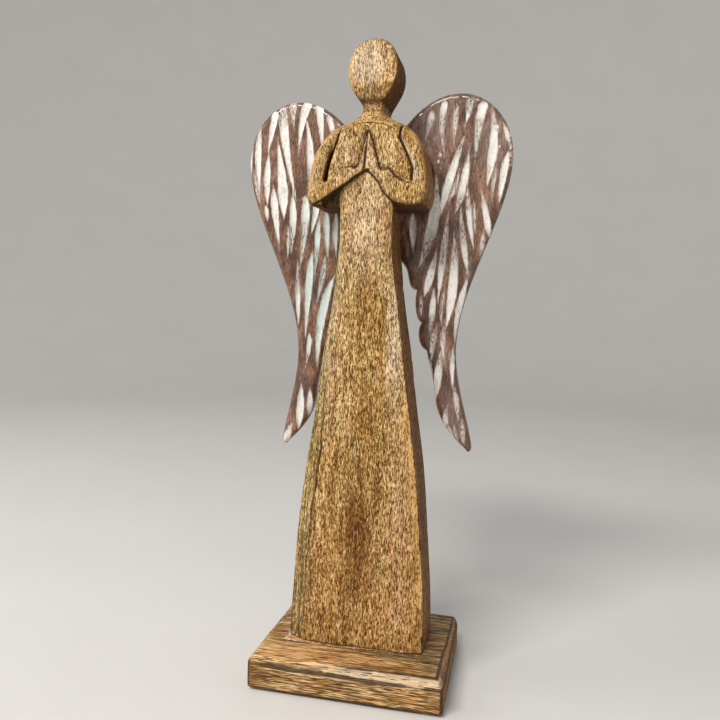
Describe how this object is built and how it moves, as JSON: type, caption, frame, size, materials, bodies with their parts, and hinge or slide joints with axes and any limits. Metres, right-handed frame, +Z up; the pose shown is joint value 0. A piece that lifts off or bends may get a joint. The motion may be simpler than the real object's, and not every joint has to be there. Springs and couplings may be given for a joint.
{
  "type": "carved wooden angel figurine",
  "caption": "Carved wooden angel with praying hands and painted wings screwed to its back, standing on a bevelled plinth with soft feet.",
  "frame": {"origin": "on the surface the pads stand on, below the middle of the plinth", "axes": "+Z up through the head; the figure faces -Y, so its wings are on the +Y side; +X is to the right as seen from the front"},
  "size_m": [0.1665, 0.091, 0.3766],
  "materials": {
    "figure_wood": "waxed, satin, open vertical grain with dark pores",
    "plinth_wood": "waxed, satin, grain along the width, paler worn edges",
    "wing_enamel": "red-brown stain under clear gloss, carved strokes filled with off-white",
    "pad_rubber": "clear soft bumper pad",
    "screw_steel": "zinc plated, dull"
  },
  "bodies": {
    "root": {"plinth": "plinth_wood", "figure": "figure_wood", "wing_left": "wing_enamel", "wing_right": "wing_enamel", "pad_front_left": "pad_rubber", "pad_front_right": "pad_rubber", "pad_back_left": "pad_rubber", "pad_back_right": "pad_rubber", "base_screw_left": "screw_steel", "base_screw_right": "screw_steel", "wing_screw_left_upper": "screw_steel", "wing_screw_left_lower": "screw_steel", "wing_screw_right_upper": "screw_steel", "wing_screw_right_lower": "screw_steel"}
  },
  "joints": []
}
